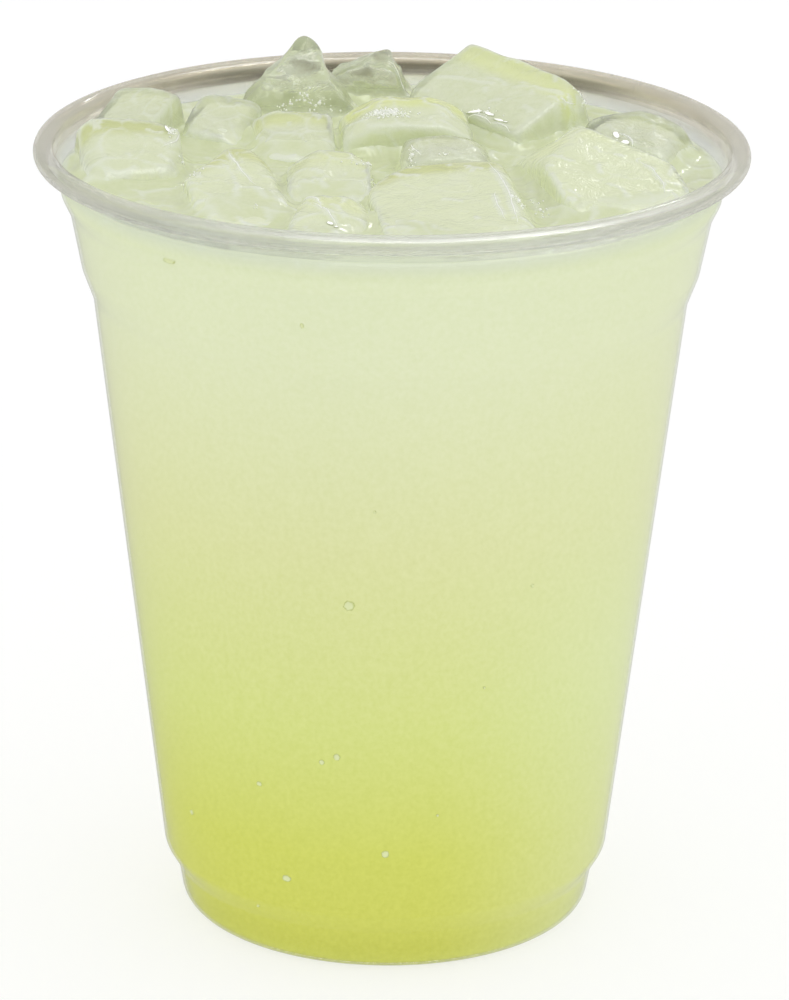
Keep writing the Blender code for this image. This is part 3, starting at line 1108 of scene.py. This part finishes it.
def surface_under(pieces):
    """A test for where a point, seen from above, lies on the ice or the drink."""
    trees = []
    for piece in pieces:
        shape = bmesh.new()
        shape.from_mesh(piece.data)
        trees.append(BVHTree.FromBMesh(shape))
        shape.free()

    def find(x, y):
        best = None
        for tree in trees:
            start = Vector((x * MM, y * MM, LOOK_DOWN_FROM * MM))
            place, normal, _, _ = tree.ray_cast(start, Vector((0.0, 0.0, -1.0)))
            if place is not None and (best is None or place.z > best[0].z):
                best = (place, normal)
        return best

    return find


def raise_surface(shape, top, find, strength):
    """Lets the drink's flat top creep up the wall and the ice, and gives it swells, hollows and lines."""
    edge = wall_radius(LEVEL)
    for vert in top:
        found = find(vert.co.x / MM, vert.co.y / MM)
        over_ice = found[0].z / MM - LEVEL if found else 0.0
        vert.co.z += max(min(over_ice, FILM_RISE), 0.0) * MM
    for _ in range(CALMING_PASSES):
        bmesh.ops.smooth_vert(shape, verts=top, factor=0.5, use_axis_z=True)
    for vert in top:
        radius = vert.co.xy.length / MM
        to_wall = edge - radius
        creep = WALL_CREEP * math.exp(-max(to_wall, 0.0) / CREEP_REACH)
        place = vert.co / MM
        swell = noise.noise(place / SWELL_LENGTH) * SWELL
        sunken = hollows(place, SUNKEN_CELL, *DRINK_HOLLOWS) * SUNKEN_RELIEF
        calm = share_between(0.0, CALM_AT_WALL, to_wall) * share_between(FILM_RISE, 0.0, place.z - LEVEL)
        vert.co.z += (creep + FILM + (swell + sunken) * calm) * MM
        lean = 1 + WALL_LEAN * creep / max(radius, 1.0)
        vert.co.x *= lean
        vert.co.y *= lean
        vert.co.z += strength(vert.co / MM) * LINE_HEIGHT * MM


def cut_pockets(drink, forms):
    """Cuts the room that the blocks of ice take up out of the drink."""
    pockets = bpy.data.collections.new("Ice pockets")
    bpy.context.scene.collection.children.link(pockets)
    for form in forms:
        shape = box_mesh(form.block.size, POCKET_STEP)
        for vert in shape.verts:
            vert.co = form.point(vert.co)[1] * MM
        shape.normal_update()
        for vert in shape.verts:
            vert.co -= vert.normal * POCKET_INSET * MM
        mesh = bpy.data.meshes.new("pocket")
        shape.to_mesh(mesh)
        shape.free()
        pockets.objects.link(bpy.data.objects.new("pocket", mesh))
    cut = drink.modifiers.new("Ice pockets", "BOOLEAN")
    cut.operation = "DIFFERENCE"
    cut.operand_type = "COLLECTION"
    cut.solver = "MANIFOLD"
    cut.collection = pockets
    graph = bpy.context.evaluated_depsgraph_get()
    mesh = bpy.data.meshes.new_from_object(drink.evaluated_get(graph))
    drink.modifiers.clear()
    drink.data = mesh
    for pocket in list(pockets.objects):
        bpy.data.objects.remove(pocket)
    bpy.data.collections.remove(pockets)


def build_drink(material, blocks, forms, strength):
    shape = bmesh.new()
    edge = wall_radius(LEVEL)
    outline(shape, [corner for corner in DRINK_CORNERS if corner[1] < LEVEL] + [(edge, LEVEL, 0.0)])
    rings = math.ceil(edge / TOP_RING_STEP)
    add_line(shape, [(edge * (1 - step / rings), LEVEL) for step in range(rings + 1)])
    bmesh.ops.remove_doubles(shape, verts=shape.verts[:], dist=SEAM * MM)
    spin_round(shape, SEGMENTS)
    ridge = shape.verts.layers.float.new("ridge")
    top = [vert for vert in shape.verts if vert.co.z > (LEVEL - SEAM) * MM]
    raise_surface(shape, top, surface_under(blocks), strength)
    mark_ridges(shape, ridge, top, strength)
    drink = add_piece("lemonade_drink", shape, material)
    cut_pockets(drink, forms)
    drink.data.materials.clear()
    drink.data.materials.append(material)
    drink.data.shade_smooth()
    return settle(drink, "lemonade", "lemonade")


# Froth, bubbles, painted glints and painted highlight lines

def build_froth(find, material):
    """Clusters of tiny bubbles where the drink foams against the ice."""
    draw = random.Random(FROTH_SEED)
    shape = bmesh.new()
    for x, y, reach_x, reach_y, turn, count in FROTH:
        across = Matrix.Rotation(math.radians(turn), 2)
        for _ in range(count):
            step = across @ Vector((draw.gauss(0, 0.5) * reach_x, draw.gauss(0, 0.5) * reach_y))
            found = find(x + step.x, y + step.y)
            if found is None:
                continue
            size = draw.uniform(*FROTH_SIZE) * (FROTH_BIG if draw.random() < FROTH_BIG_SHARE else 1.0)
            bmesh.ops.create_uvsphere(
                shape, u_segments=8, v_segments=5, radius=size * MM,
                matrix=Matrix.Translation(found[0] + found[1] * size * FROTH_OUT * MM),
            )
    settle(add_piece("froth_bubbles", shape, material), "lemonade")


def add_drop(shape, edge, place, along, normal, size, seed):
    """A flat uneven drop on a surface. Its edge layer is 1 round the outside and 0 in the middle."""
    along = (along - normal * along.dot(normal)).normalized()
    turn = Matrix((along, normal.cross(along), normal)).transposed().to_4x4()
    verts = bmesh.ops.create_uvsphere(shape, u_segments=24, v_segments=12, radius=1.0)["verts"]
    for vert in verts:
        vert[edge] = share_between(*DROP_EDGE, vert.co.z)
        waves = noise.noise(Vector((vert.co.x * DROP_WAVES, vert.co.y * DROP_WAVES, seed)))
        vert.co.xy *= 1 + DROP_UNEVENNESS * waves
    stretch = Matrix.Diagonal((size[0] / 2 * MM, size[1] / 2 * MM, size[2] / 2 * MM, 1.0))
    bmesh.ops.transform(shape, matrix=Matrix.Translation(place) @ turn @ stretch, verts=verts)


def build_painted_glints(find, material):
    """Painted glints: white patches that lie along the ice and the drink, their middles glowing."""
    shape = bmesh.new()
    edge = shape.verts.layers.float.new("edge")
    for x, y, length, width, turn in PAINTED_GLINTS:
        found = find(x, y)
        if found is None:
            continue
        along = Vector((math.cos(math.radians(turn)), math.sin(math.radians(turn)), 0.0))
        add_drop(shape, edge, found[0], along, found[1], (length, width, GLINT_THICKNESS), x + y)
    settle(add_piece("painted_glint_patches", shape, material), "ice")


def build_wall_bubbles(material):
    """Bubbles of air that cling to the inside of the cup, seen through it."""
    shape = bmesh.new()
    edge = shape.verts.layers.float.new("edge")
    upright = Vector((0.0, 0.0, 1.0))
    for angle, height, width, tall in WALL_BUBBLES:
        turn = math.radians(angle)
        normal = Vector((math.sin(turn), -math.cos(turn), -WALL_LEAN / 2)).normalized()
        place = Vector((math.sin(turn), -math.cos(turn), 0.0)) * wall_radius(height) + upright * height
        add_drop(shape, edge, place * MM, upright, normal, (tall, width, BUBBLE_THICKNESS), height)
    settle(add_piece("wall_bubbles", shape, material), "lemonade")


def build_ridge_lines(find, material):
    """Thin white tubes along the ridges and wrinkles of the ice, fading out at both ends: painted
    highlights.
    """
    data = bpy.data.curves.new("ridge_lines", "CURVE")
    data.dimensions = "3D"
    data.bevel_depth = MM
    data.bevel_resolution = 1
    data.use_fill_caps = True
    for line in line_places():
        if line[0][2] < BRIGHT_WIDTH:
            continue
        found = [(find(spot.x, spot.y), share) for spot, share, _ in line]
        places = [(hit[0], share) for hit, share in found if hit]
        if len(places) < 3:
            continue
        spline = data.splines.new("POLY")
        spline.points.add(len(places) - 1)
        for point, (place, share) in zip(spline.points, places):
            uneven = BRIGHT_LEAST + BRIGHT_UNEVEN * abs(noise.noise(place / MM / BRIGHT_WAVE))
            thickness = BRIGHT_END + (1 - BRIGHT_END) * math.sin(math.pi * share) * uneven
            point.co = (*place, 1.0)
            point.radius = thickness * line[0][2] * BRIGHT_SHARE
    guide = bpy.data.objects.new("ridge_lines", data)
    bpy.context.scene.collection.objects.link(guide)
    mesh = bpy.data.meshes.new_from_object(guide.evaluated_get(bpy.context.evaluated_depsgraph_get()))
    bpy.data.objects.remove(guide)
    shape = bmesh.new()
    shape.from_mesh(mesh)
    bmesh.ops.remove_doubles(shape, verts=shape.verts[:], dist=SEAM * MM / 10)
    bmesh.ops.recalc_face_normals(shape, faces=shape.faces[:])
    settle(add_piece("ridge_lines", shape, material), "ice")


# The studio

def place_camera():
    data = bpy.data.cameras.new("Camera")
    data.sensor_fit = "VERTICAL"
    data.sensor_height = CAMERA_SENSOR
    data.lens = CAMERA_LENS
    camera = bpy.data.objects.new("Camera", data)
    camera.location = CAMERA_PLACE
    tilt = Matrix.Rotation(math.radians(CAMERA_TILT), 4, "X")
    camera.rotation_euler = (tilt @ Matrix.Rotation(math.radians(CAMERA_ROLL), 4, "Z")).to_euler()
    bpy.context.scene.collection.objects.link(camera)
    bpy.context.scene.camera = camera


def hang_back_window():
    """A small soft light behind the cup."""
    data = bpy.data.lights.new("back_window", "AREA")
    data.shape = "RECTANGLE"
    data.size, data.size_y = WINDOW_SIZE
    data.energy = WINDOW_POWER
    light = bpy.data.objects.new("back_window", data)
    light.location = WINDOW_PLACE
    light.rotation_euler = (WINDOW_TARGET - WINDOW_PLACE).to_track_quat("-Z", "Y").to_euler()
    bpy.context.scene.collection.objects.link(light)


def background(tree, color, strength=1.0):
    return tree.set(tree.add("Background"), Color=color, Strength=strength).outputs[0]


def build_world():
    """White to the eye, even for soft light, and darker near the horizon in reflections."""
    world = bpy.data.worlds.new("Studio")
    bpy.context.scene.world = world
    world.use_nodes = True
    world.node_tree.nodes.clear()
    tree = Tree(world.node_tree)
    parts = tree.set(tree.add("SeparateXYZ"), Vector=tree.add("TexCoord").outputs["Generated"])
    across, away, up = parts.outputs
    mirrored = ramp(tree, combined(tree, "MULTIPLY_ADD", across, RIGHT_TILT, up), MIRRORED_TONES)
    toward_right = combined(tree, "SUBTRACT", product(tree, across, SOFTBOX_TURN), away)
    softbox = product(tree, ramp(tree, up, SOFTBOX_TONES), rescaled(tree, toward_right, *SOFTBOX_EDGE))
    both = tree.add("AddShader")
    tree.feed(both.inputs[0], background(tree, mirrored))
    tree.feed(both.inputs[1], background(tree, WHITE, product(tree, softbox, SOFTBOX_STRENGTH)))
    path = tree.add("LightPath")
    even = background(tree, ramp(tree, up, EVEN_TONES))
    lit = mixed_shaders(tree, path.outputs["Is Glossy Ray"], even, both.outputs[0])
    shown = mixed_shaders(tree, path.outputs["Is Camera Ray"], lit, background(tree, WHITE))
    tree.set(tree.add("OutputWorld"), Surface=shown)


def build_floor():
    """White to the eye, and darker on the left in reflections."""
    shape = bmesh.new()
    bmesh.ops.create_grid(shape, x_segments=1, y_segments=1, size=FLOOR_SIZE)
    material, tree = new_material("pale_floor")
    plain = tree.shader(Base_Color=FLOOR_GREY, Roughness=0.8)
    glow = tree.set(tree.add("Emission"), Strength=FLOOR_GLOW).outputs[0]
    across = rescaled(tree, object_parts(tree)[0], *FLOOR_ACROSS)
    dim = tree.set(tree.add("Emission"), Color=ramp(tree, across, MIRRORED_FLOOR)).outputs[0]
    path = tree.add("LightPath")
    either = combined(tree, "MAXIMUM", path.outputs["Is Glossy Ray"], path.outputs["Is Transmission Ray"])
    lit = mixed_shaders(tree, FLOOR_GLOW_SHARE, plain, glow)
    tree.show(mixed_shaders(tree, either, lit, dim))
    add_piece("floor", shape, material)


def light_studio():
    build_world()
    hang_back_window()
    settings = bpy.context.scene.view_settings
    settings.view_transform = "Standard"
    settings.look = "None"


def main():
    place_camera()
    light_studio()
    build_floor()
    grain = build_wet_grain()
    lines = build_wet_lines()
    ice = build_ice(grain, lines)
    build_cup(build_plastic())
    core = build_core_material(grain)
    forms = {name: Form(name) for name in ICE_BLOCKS}
    strength = ridge_finder()
    blocks = [build_ice_block(name, form, ice, strength) for name, form in forms.items()]
    for name, form in forms.items():
        if form.block.milk >= CORE_FROM_MILK:
            build_core(name, form, core)
    drink = build_drink(build_lemonade(grain, lines), blocks, forms.values(), strength)
    foam_and_highlights = build_foam_and_highlights()
    find = surface_under([*blocks, drink])
    build_froth(find, foam_and_highlights)
    # Painted highlights: white tubes along the ridges.
    build_ridge_lines(find, foam_and_highlights)
    # Painted highlights: glints whose middles glow.
    build_painted_glints(find, build_spots("wet_glint", GLINT_WHITE, GLINT_EDGE, 0.3))
    build_wall_bubbles(build_spots("wall_bubble", BUBBLE_GREEN, BUBBLE_EDGE, 0.0))


main()
